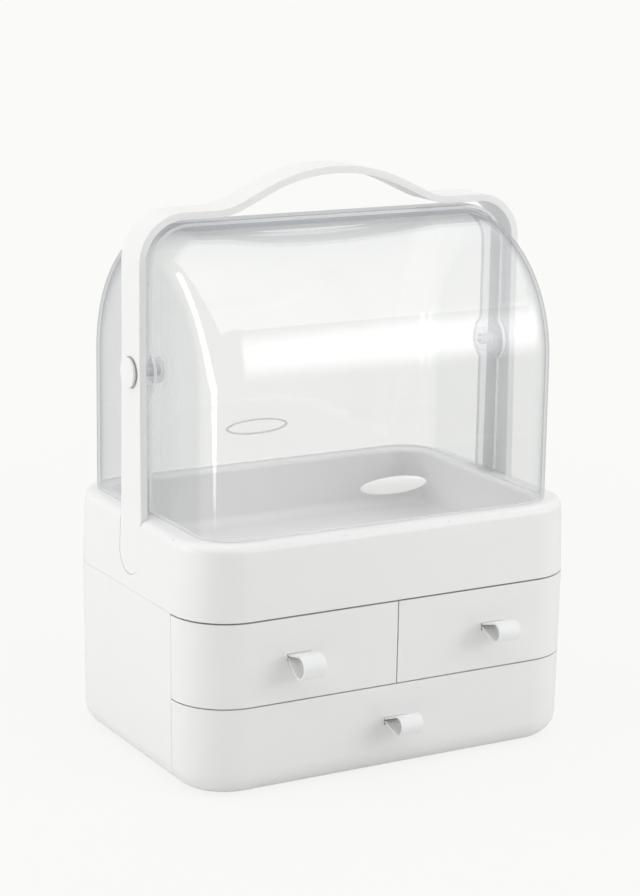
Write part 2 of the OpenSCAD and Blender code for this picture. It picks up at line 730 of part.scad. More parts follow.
// Pivot pieces on the +X side; the left ones are their mirror image.
module pin() translate([0, 0, axis_z]) rotate([0, 90, 0])
    translate([0, 0, front_x - cover_t - side_play - knob_l + 1])
        cylinder(h = leg_out - cup_depth - front_x + cover_t + side_play + knob_l - 1, r = pin_r);

module cap() translate([0, 0, axis_z]) rotate([0, 90, 0]) {
    translate([0, 0, leg_out - cup_depth]) cylinder(h = cup_depth + cap_air + 0.2, r = neck_r);
    translate([0, 0, leg_out + cap_air]) cylinder(h = cap_t, r = cap_r);
}

module knob() translate([0, 0, axis_z]) rotate([0, 90, 0])
    translate([0, 0, front_x - cover_t - side_play - knob_l]) difference() {
        union() {
            translate([0, 0, 1.5]) cylinder(h = knob_l - 1.5, r = knob_r);
            cylinder(h = 1.5, r1 = knob_r - 1.5, r2 = knob_r);
        }
        translate([0, 0, 1]) cylinder(h = knob_l, r = pin_r + 0.02);
    }

module left_pivot_pin() color(white) mirror([1, 0, 0]) pin();
module right_pivot_pin() color(white) pin();
module left_pivot_cap() color(white) mirror([1, 0, 0]) cap();
module right_pivot_cap() color(white) cap();
module left_pivot_knob() color(clear) mirror([1, 0, 0]) knob();
module right_pivot_knob() color(clear) knob();

case_shell();
mid_shelf();
centre_divider();
top_tray();
tray_screws();
feet();
left_drawer_front();
left_drawer_box();
left_pull_loop();
left_pull_clip();
right_drawer_front();
right_drawer_box();
right_pull_loop();
right_pull_clip();
bottom_drawer_front();
bottom_drawer_box();
bottom_pull_loop();
bottom_pull_clip();
carry_handle();
front_cover();
front_cover_oval();
rear_cover();
left_pivot_pin();
right_pivot_pin();
left_pivot_cap();
right_pivot_cap();
left_pivot_knob();
right_pivot_knob();
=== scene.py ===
import json
from math import asin, atan2, cos, pi, radians, sin, sqrt, tan

import bpy
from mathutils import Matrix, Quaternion, Vector


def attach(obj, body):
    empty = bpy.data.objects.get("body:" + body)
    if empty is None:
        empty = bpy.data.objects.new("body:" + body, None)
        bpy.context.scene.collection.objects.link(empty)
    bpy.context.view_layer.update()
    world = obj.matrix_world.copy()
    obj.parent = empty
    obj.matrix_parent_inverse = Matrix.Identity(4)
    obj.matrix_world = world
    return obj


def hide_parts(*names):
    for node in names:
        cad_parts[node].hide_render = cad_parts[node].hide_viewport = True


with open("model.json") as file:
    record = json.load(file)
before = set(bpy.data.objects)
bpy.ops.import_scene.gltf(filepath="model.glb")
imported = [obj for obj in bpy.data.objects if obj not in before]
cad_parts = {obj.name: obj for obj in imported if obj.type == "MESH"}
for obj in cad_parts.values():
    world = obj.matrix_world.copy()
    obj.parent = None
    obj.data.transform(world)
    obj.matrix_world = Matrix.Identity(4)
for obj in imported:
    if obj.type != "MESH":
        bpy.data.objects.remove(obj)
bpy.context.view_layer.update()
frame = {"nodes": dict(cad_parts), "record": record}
mm = 0.001
print("frame loaded")

# heights and sizes that several pieces share, in millimetres, as the solids have them
case = {"wide": 300, "deep": 211, "seamZ": 121, "rimZ": 172, "axisZ": 270,
        "trayDraft": 1.55, "caseDraft": 1.15}
acrossX = (0, pi / 2, 0)  # turns a drum to lie along X
acrossY = (pi / 2, 0, 0)
same = 0.001  # how near two lengths in millimetres have to be to count as one


# object tools
def nothingSelected():
    if bpy.context.object and bpy.context.object.mode != "OBJECT":
        bpy.ops.object.mode_set(mode="OBJECT")
    bpy.ops.object.select_all(action="DESELECT")


def only(piece):
    nothingSelected()
    piece.select_set(True)
    bpy.context.view_layer.objects.active = piece
    return piece


def named(piece, name):
    piece.name = name
    piece.data.name = name
    return piece


def settle(piece):  # puts the place, turn and scale into the mesh
    only(piece)
    bpy.ops.object.transform_apply(location=True, rotation=True, scale=True)
    return piece


def fitModifier(piece, kind, **settings):
    only(piece)
    bpy.ops.object.modifier_add(type=kind)
    modifier = piece.modifiers[-1]
    for key, value in settings.items():
        setattr(modifier, key, value)
    bpy.ops.object.modifier_apply(modifier=modifier.name)
    return piece


def boolean(piece, cutter, operation):
    fitModifier(piece, "BOOLEAN", object=cutter, operation=operation, solver="EXACT")
    bpy.data.objects.remove(cutter)
    return piece


def pickEdges(piece, wanted):
    # leaves the piece in edit mode with the edges picked whose two ends pass the test
    only(piece)
    bpy.ops.object.mode_set(mode="EDIT")
    bpy.ops.mesh.select_mode(type="EDGE")
    bpy.ops.mesh.select_all(action="DESELECT")
    bpy.ops.object.mode_set(mode="OBJECT")
    spots = piece.data.vertices
    for edge in piece.data.edges:
        edge.select = wanted(*[spots[i].co / mm for i in edge.vertices])
    bpy.ops.object.mode_set(mode="EDIT")
    return piece


def pickFace(piece, measure):
    # leaves the piece in edit mode with the one face picked whose centre measures least
    only(piece)
    bpy.ops.object.mode_set(mode="EDIT")
    bpy.ops.mesh.select_mode(type="FACE")
    bpy.ops.mesh.select_all(action="DESELECT")
    bpy.ops.object.mode_set(mode="OBJECT")
    min(piece.data.polygons, key=lambda face: measure(face.center)).select = True
    bpy.ops.object.mode_set(mode="EDIT")
    return piece


def tidyMesh(piece, merge=0.00001):
    only(piece)
    bpy.ops.object.mode_set(mode="EDIT")
    bpy.ops.mesh.select_all(action="SELECT")
    bpy.ops.mesh.remove_doubles(threshold=merge)
    bpy.ops.mesh.normals_make_consistent(inside=False)
    bpy.ops.object.mode_set(mode="OBJECT")
    return piece


def smooth(piece, angle=35, weighted=True):
    only(piece)
    bpy.ops.object.shade_smooth_by_angle(angle=radians(angle))
    if weighted:
        fitModifier(piece, "WEIGHTED_NORMAL", mode="FACE_AREA", weight=50, keep_sharp=True)
    return piece


def drum(radius, depth, place, turn=(0, 0, 0), sides=96):
    nothingSelected()
    bpy.ops.mesh.primitive_cylinder_add(
        vertices=sides, radius=radius * mm, depth=depth * mm,
        location=Vector(place) * mm, rotation=turn)
    return settle(bpy.context.object)


def block(low, high):
    nothingSelected()
    bpy.ops.mesh.primitive_cube_add(size=1, location=(Vector(low) + Vector(high)) / 2 * mm)
    piece = bpy.context.object
    piece.scale = (Vector(high) - Vector(low)) * mm
    return settle(piece)


def ribbon(name, along, points, widths):
    # an edge that lies along one axis is extruded from point to point
    nothingSelected()
    bpy.ops.mesh.primitive_plane_add(size=1, location=(0, 0, 0))
    piece = named(bpy.context.object, name)
    bpy.ops.object.mode_set(mode="EDIT")
    bpy.ops.mesh.select_all(action="DESELECT")
    bpy.ops.object.mode_set(mode="OBJECT")
    for vertex in piece.data.vertices[2:]:
        vertex.select = True
    bpy.ops.object.mode_set(mode="EDIT")
    bpy.ops.mesh.delete(type="VERT")
    bpy.ops.object.mode_set(mode="OBJECT")
    for side, vertex in zip((-0.5, 0.5), piece.data.vertices):
        vertex.co = (Vector(points[0]) + Vector(along) * widths[0] * side) * mm
        vertex.select = True
    for edge in piece.data.edges:
        edge.select = True
    bpy.ops.object.mode_set(mode="EDIT")
    for i in range(1, len(points)):
        step = (Vector(points[i]) - Vector(points[i - 1])) * mm
        bpy.ops.mesh.extrude_region_move(TRANSFORM_OT_translate={"value": step})
        ratio = widths[i] / widths[i - 1]
        if abs(ratio - 1) > 1e-6:
            stretch = [1 + (ratio - 1) * abs(a) for a in along]
            bpy.ops.transform.resize(value=stretch, center_override=Vector(points[i]) * mm)
    bpy.ops.object.mode_set(mode="OBJECT")
    return piece


def faceUp(piece, chooses, normal):
    # turns all faces over if the one that is nearest to a place looks the wrong way
    place = Vector(chooses) * mm
    nearest = min(piece.data.polygons, key=lambda f: (f.center - place).length)
    if nearest.normal.dot(Vector(normal)) < 0:
        only(piece)
        bpy.ops.object.mode_set(mode="EDIT")
        bpy.ops.mesh.select_all(action="SELECT")
        bpy.ops.mesh.flip_normals()
        bpy.ops.object.mode_set(mode="OBJECT")
    return piece


def arcPoints(centre, radius, start, end, steps):
    turns = [radians(start + (end - start) * i / steps) for i in range(steps + 1)]
    return [(centre[0] + radius * cos(a), centre[1] + radius * sin(a)) for a in turns]


# materials
class Wire:  # a socket that sums can be written with
    def __init__(self, kit, socket):
        self.kit = kit
        self.socket = socket

    def work(self, operation, first, second):
        return self.kit.node("ShaderNodeMath", {"operation": operation}, {0: first, 1: second})[0]

    def __add__(self, other): return self.work("ADD", self, other)
    def __radd__(self, other): return self.work("ADD", other, self)
    def __sub__(self, other): return self.work("SUBTRACT", self, other)
    def __rsub__(self, other): return self.work("SUBTRACT", other, self)
    def __mul__(self, other): return self.work("MULTIPLY", self, other)
    def __rmul__(self, other): return self.work("MULTIPLY", other, self)
    def __pow__(self, other): return self.work("POWER", self, other)
    def orMore(self, other): return self.work("MAXIMUM", self, other)


class MaterialKit:
    def __init__(self, name, owner=None):  # the owner is a new material, a world or a light
        self.owner = owner or bpy.data.materials.new(name)
        self.owner.use_nodes = True
        self.tree = self.owner.node_tree
        self.tree.nodes.clear()

    def node(self, kind, settings=None, inputs=None):
        made = self.tree.nodes.new(kind)
        for key, value in (settings or {}).items():
            setattr(made, key, value)
        for key, value in (inputs or {}).items():
            if isinstance(value, Wire):
                self.tree.links.new(value.socket, made.inputs[key])
            else:
                made.inputs[key].default_value = value
        return [Wire(self, out) for out in made.outputs]

    def place(self, scale=(1, 1, 1)):
        where = self.node("ShaderNodeTexCoord")[3]
        return self.node("ShaderNodeMapping", None, {0: where, 3: scale})[0]

    def noise(self, scale, detail=2.0, roughness=0.5, stretch=(1, 1, 1)):
        return self.node("ShaderNodeTexNoise", None, {
            "Vector": self.place(stretch), "Scale": scale, "Detail": detail,
            "Roughness": roughness})[0]

    def blendColour(self, factor, first, second):
        inputs = {0: factor, 6: first, 7: second}
        return self.node("ShaderNodeMix", {"data_type": "RGBA"}, inputs)[2]

    def bump(self, height, depth, strength=1.0, under=None):
        inputs = {"Height": height, "Distance": depth, "Strength": strength}
        if under:
            inputs["Normal"] = under
        return self.node("ShaderNodeBump", None, inputs)[0]

    def mix(self, share, first, second):
        return self.node("ShaderNodeMixShader", None, {0: share, 1: first, 2: second})[0]

    def surface(self, inputs):
        shader = self.node("ShaderNodeBsdfPrincipled", None, inputs)[0]
        self.node("ShaderNodeOutputMaterial", None, {0: shader})
        return self.owner


# blotch, cloud, swell and grain are scales of noise; a depth is in metres
finishes = {
    "white": {"light": (0.862, 0.862, 0.852, 1), "shade": (0.838, 0.84, 0.83, 1), "blotch": 9,
              "rough": 0.36, "roughSpread": 0.1, "cloud": 60, "ior": 1.5,
              "grain": 2600, "grainDepth": 0.00002, "swell": 14, "swellDepth": 0.00018},
    # the slanting tone is painted shade for the parts of a clear wall that turn away from the view
    "clear": {"straight": (0.978, 0.979, 0.98, 1), "slanting": (0.6, 0.62, 0.645, 1),
              "falloff": 3.2, "gloss": 0.04, "rough": 0.02, "smear": 0.05, "smearScale": 26,
              "swell": 7, "swellDepth": 0.00012},
    "pale clear": {"through": (0.95, 0.95, 0.96, 1), "rough": 0.35, "roughSpread": 0.15,
                   "grain": 500, "bodySpread": 0.08, "blotch": 40, "ior": 1.49},
    # the edge body paints a highlight on the cut edges of the covers
    "edge": {"tone": (0.93, 0.94, 0.95, 1), "body": 0.62},
    "hub": {"tone": (0.97, 0.97, 0.97, 1), "body": 0.16},
    "frost": {"tone": (0.5, 0.51, 0.51, 1), "body": 0.5},
    "silicone": {"light": (0.87, 0.875, 0.87, 1), "shade": (0.83, 0.84, 0.84, 1), "blotch": 40,
                 "rough": 0.5, "roughSpread": 0.12, "cloud": 300, "ior": 1.41,
                 "soft": 0.15, "softDepth": 0.002, "grain": 1800, "grainDepth": 0.00002},
    "steel": {"light": (0.68, 0.69, 0.7, 1), "shade": (0.5, 0.51, 0.53, 1), "spots": 420,
              "rough": 0.28, "roughSpread": 0.16, "grainDepth": 0.00003},
    "feet": {"light": (0.62, 0.62, 0.61, 1), "shade": (0.5, 0.5, 0.5, 1), "grain": 900,
             "rough": 0.7, "roughSpread": 0.15, "grainDepth": 0.00008},
}


def whitePlastic():
    v = finishes["white"]
    kit = MaterialKit("satin white plastic")
    broad = kit.noise(v["blotch"], 3)
    fine = kit.noise(v["grain"], 2)
    tone = kit.blendColour(broad, v["shade"], v["light"])
    rough = v["rough"] + v["roughSpread"] * (kit.noise(v["cloud"], 4) - 0.5)
    wavy = kit.bump(kit.noise(v["swell"], 1), v["swellDepth"], 0.5)
    return kit.surface({"Base Color": tone, "Roughness": rough, "IOR": v["ior"],
                        "Normal": kit.bump(fine, v["grainDepth"], 0.6, wavy)})


def clearPlastic():
    # each face of a clear wall lets light through and mirrors more of it where it slants
    v = finishes["clear"]
    kit = MaterialKit("clear polished plastic")
    away = kit.node("ShaderNodeLayerWeight", {}, {"Blend": 0.5})[1]  # 0 straight on, 1 at the edge
    straight = kit.node("ShaderNodeBsdfTransparent", {}, {"Color": v["straight"]})[0]
    # the slanting tint is painted shade: beyond what the wall mirrors, it darkens each wall where
    # it turns away from the view, in place of the dark edges that refraction gives
    slanting = kit.node("ShaderNodeBsdfTransparent", {}, {"Color": v["slanting"]})[0]
    through = kit.mix(away ** v["falloff"], straight, slanting)
    smear = kit.noise(v["smearScale"], 4, 0.6, (1, 1, 0.35))
    shine = kit.node("ShaderNodeBsdfGlossy", {"distribution": "GGX"}, {
        "Color": (1, 1, 1, 1), "Roughness": v["rough"] + v["smear"] * smear ** 4,
        "Normal": kit.bump(kit.noise(v["swell"], 1), v["swellDepth"], 0.35)})[0]
    mirrors = v["gloss"] + (1 - v["gloss"]) * away ** 5
    kit.node("ShaderNodeOutputMaterial", {}, {0: kit.mix(mirrors, through, shine)})
    return kit.owner


def paleClear(name, v):
    # clear plastic with a pale body for a cut edge, a boss or a frosted face; on a cut edge the
    # pale body is a painted highlight, in place of the light that the edge of a clear wall catches
    w = finishes["pale clear"]
    kit = MaterialKit(name)
    rough = w["rough"] + w["roughSpread"] * kit.noise(w["grain"], 3)
    body = kit.node("ShaderNodeBsdfPrincipled", {}, {
        "Base Color": v["tone"], "Roughness": rough, "IOR": w["ior"]})[0]
    through = kit.node("ShaderNodeBsdfTransparent", {}, {"Color": w["through"]})[0]
    share = v["body"] + w["bodySpread"] * (kit.noise(w["blotch"], 1) - 0.5)
    kit.node("ShaderNodeOutputMaterial", {}, {0: kit.mix(share, through, body)})
    return kit.owner


def silicone():
    v = finishes["silicone"]
    kit = MaterialKit("soft white silicone")
    tone = kit.blendColour(kit.noise(v["blotch"], 2), v["shade"], v["light"])
    rough = v["rough"] + v["roughSpread"] * (kit.noise(v["cloud"], 3) - 0.5)
    return kit.surface({"Base Color": tone, "Roughness": rough, "IOR": v["ior"],
                        "Subsurface Weight": v["soft"], "Subsurface Scale": v["softDepth"],
                        "Normal": kit.bump(kit.noise(v["grain"], 2), v["grainDepth"], 0.6)})


def zincSteel():
    v = finishes["steel"]
    kit = MaterialKit("zinc plated steel")
    spots = kit.noise(v["spots"], 3)
    return kit.surface({"Base Color": kit.blendColour(spots, v["shade"], v["light"]),
                        "Metallic": 1.0, "Roughness": v["rough"] + v["roughSpread"] * spots,
                        "Normal": kit.bump(spots, v["grainDepth"], 0.5)})


def footRubber():
    v = finishes["feet"]
    kit = MaterialKit("pale rubber")
    grit = kit.noise(v["grain"], 4)
    return kit.surface({"Base Color": kit.blendColour(grit, v["shade"], v["light"]),
                        "Roughness": v["rough"] + v["roughSpread"] * grit,
                        "Normal": kit.bump(grit, v["grainDepth"], 0.7)})


materials = {"white_plastic": whitePlastic(), "clear_plastic": clearPlastic(),
             "white_rubber": silicone(), "pale_rubber": footRubber(), "bright_steel": zincSteel()}
# the whitish body of the cut edges is a painted highlight
edgeHighlightPlastic = paleClear("clear plastic cut edge", finishes["edge"])
frostPlastic = paleClear("clear plastic frosted", finishes["frost"])
hubPlastic = paleClear("clear plastic boss", finishes["hub"])
print("materials ready")


def dress(piece, slot):
    piece.data.materials.clear()
    piece.data.materials.append(materials[slot])
    for face in piece.data.polygons:
        face.material_index = 0


slotOf = {row["node"]: row["material_slot"] for row in frame["record"]["subparts"]}
bodyOf = {node: body for body, group in frame["record"]["behaviour"]["bodies"].items()
          for node in group}
for node, thing in frame["nodes"].items():
    if not thing.data.materials:
        thing.data.materials.append(None)
    for place in thing.material_slots:
        place.material = materials[slotOf[node]]


def standIn(piece, *nodes):
    dress(piece, slotOf[nodes[0]])
    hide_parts(*nodes)
    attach(piece, bodyOf[nodes[0]])
    print(piece.name, "made")


# clear covers
covers = {
    "front": {"half": 134.5, "arch": 94.6, "corner": 25, "side": -1, "hub": (11, 134, 136)},
    "rear": {"half": 138.5, "arch": 98.6, "corner": 29, "side": 1, "hub": (13, 138, 142.7)},
    "wall": 2.2, "foot": 172.5, "lap": 9, "ear": 16.5, "heel": 4, "bore": 4.06, "edge": 0.5,
    "archSides": 144, "cornerSteps": 12,
}


def coverForm(half, arch, corner, foot):
    # a closed arched body: a drum with rounded rims, cut at the axis and pulled down
    axisZ = case["axisZ"]
    body = drum(arch, 2 * half, (0, 0, axisZ), acrossX, covers["archSides"])
    pickEdges(body, lambda a, b: abs(a.x - b.x) < same)
    bpy.ops.mesh.bevel(offset=corner * mm, segments=covers["cornerSteps"], profile=0.5,
                       clamp_overlap=False)
    bpy.ops.mesh.select_all(action="SELECT")
    bpy.ops.mesh.bisect(plane_co=(0, 0, axisZ * mm), plane_no=(0, 0, 1), clear_inner=True,
                        threshold=1e-6)
    pickEdges(body, lambda a, b: abs(a.z - axisZ) < same and abs(b.z - axisZ) < same)
    bpy.ops.mesh.extrude_region_move(
        TRANSFORM_OT_translate={"value": (0, 0, (foot - axisZ) * mm)})
    bpy.ops.mesh.edge_face_add()
    bpy.ops.object.mode_set(mode="OBJECT")
    return tidyMesh(body, 1e-6)


def coverKeep(side, reach):
    # the part of the arched body that one cover has: its half, a lap and the two ears
    lap, foot = covers["lap"], covers["foot"]
    ys = sorted((side * reach, -side * lap))
    keep = block((-reach, ys[0], foot), (reach, ys[1], case["axisZ"] + reach))
    pickEdges(keep, lambda a, b: abs(a.z - foot) + abs(b.z - foot) < same
              and abs(a.y + side * lap) + abs(b.y + side * lap) < same)
    bpy.ops.mesh.bevel(offset=covers["heel"] * mm, segments=6, profile=0.5)
    bpy.ops.object.mode_set(mode="OBJECT")
    ear = drum(covers["ear"], 2 * reach, (0, 0, case["axisZ"]), acrossX)
    return boolean(keep, ear, "UNION")


def coverShell(name, v):
    wall = covers["wall"]
    shell = named(coverForm(v["half"], v["arch"], v["corner"], covers["foot"] - 1), name)
    boolean(shell, coverForm(v["half"] - wall, v["arch"] - wall, v["corner"] - wall,
                             covers["foot"] - 10), "DIFFERENCE")
    return boolean(shell, coverKeep(v["side"], v["half"] + 20), "INTERSECT")


def hubs(shell, radius, near, far):
    for side in (-1, 1):
        middle = (side * (near + far) / 2, 0, case["axisZ"])
        hub = drum(radius, far - near, middle, acrossX)
        boolean(shell, hub, "UNION")
    bore = drum(covers["bore"], 400, (0, 0, case["axisZ"]), acrossX, 64)
    return boolean(shell, bore, "DIFFERENCE")


def roundEdges(piece, width, segments=2, angle=50):
    fitModifier(piece, "BEVEL", width=width * mm, segments=segments, limit_method="ANGLE",
                angle_limit=radians(angle), use_clamp_overlap=True, harden_normals=False)
    return piece


def dressFaces(piece, material, wanted):
    piece.data.materials.append(material)
    last = len(piece.data.materials) - 1
    for face in piece.data.polygons:
        if wanted(face.center / mm):
            face.material_index = last


def dressRims(piece, side):
    # the cut edges, which get a painted highlight: the foot, the open edge and the round ears
    lap, foot, ear, axisZ = covers["lap"], covers["foot"], covers["ear"], case["axisZ"]

    def onRim(c):
        reach = sqrt(c.y ** 2 + (c.z - axisZ) ** 2)
        openSide = -side * c.y
        return (c.z < foot + 0.7 or abs(openSide - lap) < 0.6 and reach > ear - 1
                or abs(reach - ear) < 0.6 and openSide > lap - 0.5)

    dressFaces(piece, edgeHighlightPlastic, onRim)


# ovals of the covers: the step and the line of glue are the white one's, the ring the clear one's
oval = {"wide": 51, "high": 11.6, "z": 198, "thick": 2.2, "step": 0.7, "glue": 0.06,
        "ring": 2, "proud": 0.8}


def ovalDisc(wide, high, y0, y1):
    disc = drum(0.5, 1, (0, 0, 0), acrossY)
    disc.scale = (wide, y1 - y0, high)
    disc.location = Vector((0, (y0 + y1) / 2, oval["z"])) * mm
    return settle(disc)


def ovalReach(c):
    return sqrt((2 * c.x / oval["wide"]) ** 2 + (2 * (c.z - oval["z"]) / oval["high"]) ** 2)


def finishShell(shell, v, node):  # hubs and bore, eased edges, and the plastic of rims and hubs
    hubs(shell, *v["hub"])
    roundEdges(shell, covers["edge"])
    smooth(tidyMesh(shell, 1e-7), 40)
    standIn(shell, node)
    dressRims(shell, v["side"])
    dressFaces(shell, hubPlastic, lambda c: abs(c.x) > v["half"] + 0.3)


finishShell(coverShell("frontCoverClear", covers["front"]), covers["front"], "front_cover")

# the rear cover has a raised ring where the front one has its white oval
rearShell = coverShell("rearCoverClear", covers["rear"])
rearY = covers["rear"]["arch"]
raised = ovalDisc(oval["wide"], oval["high"], rearY - 0.5, rearY + oval["proud"])
boolean(rearShell, raised, "UNION")
boolean(rearShell, ovalDisc(oval["wide"] - 2 * oval["ring"], oval["high"] - 1.5 * oval["ring"],
                            rearY + 0.4, rearY + 3), "DIFFERENCE")
finishShell(rearShell, covers["rear"], "rear_cover")
dressFaces(rearShell, frostPlastic,
           lambda c: c.y > rearY + 0.7 or c.y > rearY + 0.1 and ovalReach(c) > 0.86)

# carry handle
strap = {"wide": 27.5, "footWide": 31, "thick": 5, "shoulder": 33, "outer": 148, "flatZ": 376.5,
         "crownRise": 25.2, "crownR": 124, "dipR": 45, "slope": 25, "tipZ": 131.5, "edge": 1.1,
         "sunk": 0.12, "seatR": 10.6, "seatDepth": 1.5, "tipSteps": 12}


def strapWide(z):
    low, high = case["rimZ"], case["axisZ"] + 20
    share = min(max((z - low) / (high - low), 0), 1)
    return strap["footWide"] + (strap["wide"] - strap["footWide"]) * share


def skirtX(z):  # the outside of the leg where it is let into the leaning side of the tray
    share = (z - case["seamZ"]) / (case["rimZ"] - case["seamZ"])
    return case["wide"] / 2 - case["trayDraft"] * share - strap["sunk"]


def carryStrap():
    a, r1, r2, top = radians(strap["slope"]), strap["crownR"], strap["dipR"], strap["flatZ"]
    drop = strap["crownRise"] - (r1 + r2) * (1 - cos(a))
    x3 = r1 * sin(a) + drop / tan(a) + r2 * sin(a)
    line = arcPoints((0, top + strap["crownRise"] - r1), r1, 90, 90 - strap["slope"], 14)
    line += arcPoints((x3, top + r2), r2, 270 - strap["slope"], 270, 8)
    bendX = strap["outer"] - strap["shoulder"]
    line += arcPoints((bendX, top - strap["shoulder"]), strap["shoulder"], 90, 0, 20)
    line += [(strap["outer"], z) for z in (300, 290, 260, 230, 200, 175)]
    middle = strap["tipZ"] + strap["footWide"] / 2
    line += [(skirtX(z), z) for z in (166, 160, 152, middle)]
    widths = [strapWide(z) for x, z in line]
    for i in range(1, strap["tipSteps"] + 1):  # the round tip stops short of a point
        turn = i * 86.4 / strap["tipSteps"]
        z = middle - strap["footWide"] / 2 * sin(radians(turn))
        line.append((skirtX(z), z))
        widths.append(strap["footWide"] * cos(radians(turn)))
    piece = ribbon("carryStrap", (0, 1, 0), [(x, 0, z) for x, z in line], widths)
    crown = (0, 0, top + strap["crownRise"])
    faceUp(piece, crown, (0, 0, 1))
    fitModifier(piece, "MIRROR", use_axis=(True, False, False), merge_threshold=1e-5)
    tidyMesh(piece, 1e-6)
    faceUp(piece, crown, (0, 0, 1))
    fitModifier(piece, "SOLIDIFY", thickness=strap["thick"] * mm, offset=-1, use_even_offset=True)
    for side in (-1, 1):
        x = strap["outer"] - strap["seatDepth"]
        seat = drum(strap["seatR"], 6, (side * (x + 3), 0, case["axisZ"]), acrossX)
        boolean(piece, seat, "DIFFERENCE")
    roundEdges(piece, strap["edge"], 3, 40)
    return smooth(piece, 40)


standIn(carryStrap(), "carry_handle")

# drawer pulls: a strap comes out of a slot, goes round a nose and back in again
pulls = {"wide": 17, "thick": 1.4, "edge": 0.35, "mouth": 2.3, "inside": 10.2, "noseSteps": 36,
         "left": {"x": -75.5, "z": 92.75, "nose": 8.2, "out": 22.4, "rise": -3},
         "right": {"x": 75.5, "z": 92.75, "nose": 7, "out": 22.7, "rise": 0},
         "bottom": {"x": 0, "z": 36.5, "nose": 7, "out": 22.7, "rise": 1.3}}


def pullStrap(side):
    v = pulls[side]
    faceY = -case["deep"] / 2 + case["caseDraft"] * (1 - v["z"] / case["seamZ"])
    noseY, noseZ = faceY - v["out"] + v["nose"], v["z"] + v["rise"]
    reach = sqrt((faceY - noseY) ** 2 + v["rise"] ** 2)
    half = asin(v["nose"] / reach)
    lean = atan2(v["rise"], faceY - noseY)
    tilt = 180 - lean * 180 / pi  # from the slot towards the nose
    turn = 90 + half * 180 / pi
    inside = faceY + pulls["inside"]
    above, below = v["z"] + pulls["thick"], v["z"] - pulls["thick"]
    # in the mouth of the slot the two runs part
    top = [(inside, above), (faceY + 3, above), (faceY + 0.4, v["z"] + pulls["mouth"])]
    under = [(faceY + 0.4, below), (inside, below)]
    nose = arcPoints((noseY, noseZ), v["nose"], tilt - turn, tilt + turn, pulls["noseSteps"])
    if abs(nose[0][1] - above) > abs(nose[-1][1] - above):
        nose.reverse()
    line = top + nose + under
    piece = ribbon(side + "PullStrap", (1, 0, 0), [(v["x"], y, z) for y, z in line],
                   [pulls["wide"]] * len(line))
    faceUp(piece, (v["x"], noseY - v["nose"], noseZ), (0, -1, 0))
    fitModifier(piece, "SOLIDIFY", thickness=pulls["thick"] * mm, offset=-1, use_even_offset=True)
    roundEdges(piece, pulls["edge"], 2, 60)
    smooth(piece, 40)
    standIn(piece, side + "_pull_loop")


for side in ("left", "right", "bottom"):
    pullStrap(side)


# white oval on the front cover
def ovalPad():
    y = -covers["front"]["arch"]
    pad = ovalDisc(oval["wide"], oval["high"], y - oval["step"], y - oval["glue"])
    named(pad, "frontOvalPad")
    pickFace(pad, lambda centre: centre.y)
    middle = Vector((0, y - oval["step"], oval["z"])) * mm
    last, height = 1.0, 0.0
    # the face is crowned ring by ring
    for share in (0.985, 0.95, 0.88, 0.76, 0.6, 0.4, 0.2, 0.06):
        rise = (oval["thick"] - 0.75) * sqrt(1 - share ** 2.4)
        bpy.ops.mesh.extrude_region_move(
            TRANSFORM_OT_translate={"value": (0, -(rise - height) * mm, 0)})
        bpy.ops.transform.resize(value=(share / last, 1, share / last), center_override=middle)
        last, height = share, rise
    bpy.ops.object.mode_set(mode="OBJECT")
    tidyMesh(pad, 1e-7)
    return smooth(pad, 50, False)


standIn(ovalPad(), "front_cover_oval")


# round caps outside the legs
cap = {"r": 10.2, "thick": 2.3, "air": 0.8, "neck": 7.6, "root": 0.5, "edge": 0.9}


def pivotCap(side, node):
    x = strap["outer"] + cap["air"]
    disc = drum(cap["r"], cap["thick"], (side * (x + cap["thick"] / 2), 0, case["axisZ"]), acrossX)
    named(disc, node.split("_")[0] + "PivotCap")
    inner, outer = strap["outer"] - strap["seatDepth"], x + cap["root"]
    neck = drum(cap["neck"], outer - inner, (side * (outer + inner) / 2, 0, case["axisZ"]),
                acrossX, 64)
    boolean(disc, neck, "UNION")
    roundEdges(disc, cap["edge"], 4, 60)
    smooth(disc, 40)
    standIn(disc, node)


for side, name in ((-1, "left"), (1, "right")):
    pivotCap(side, name + "_pivot_cap")


# clear knobs on the inner ends of the pins, with a groove and a boss turned in their faces
knob = {"r": 8.75, "inner": 126.5, "outer": 132, "floor": 127.5, "bore": 4.05, "edge": 0.2,
        "steps": ((1.5, 0.5), (1.3, -0.5), (1.6, 0.4))}


def pivotKnob(side, node):
    disc = drum(knob["r"], knob["outer"] - knob["inner"],
                (side * (knob["outer"] + knob["inner"]) / 2, 0, case["axisZ"]), acrossX)
    named(disc, node.split("_")[0] + "PivotKnob")
    pickFace(disc, lambda centre: abs(centre.x))
    for ring, sink in knob["steps"]:
        bpy.ops.mesh.inset(thickness=ring * mm)
        bpy.ops.mesh.extrude_region_move(
            TRANSFORM_OT_translate={"value": (side * sink * mm, 0, 0)})
    bpy.ops.object.mode_set(mode="OBJECT")
    bore = drum(knob["bore"], 10, (side * (knob["floor"] + 5), 0, case["axisZ"]), acrossX, 48)
    boolean(disc, bore, "DIFFERENCE")
    roundEdges(disc, knob["edge"])
    smooth(disc, 40)
    standIn(disc, node)
    disc.data.materials[0] = hubPlastic


for side, name in ((-1, "left"), (1, "right")):
    pivotKnob(side, name + "_pivot_knob")


# white mouldings: the solids with their edges eased
eased = {"case_shell": 0.35, "top_tray": 0.5, "left_drawer_front": 0.35,
         "right_drawer_front": 0.35, "bottom_drawer_front": 0.35}


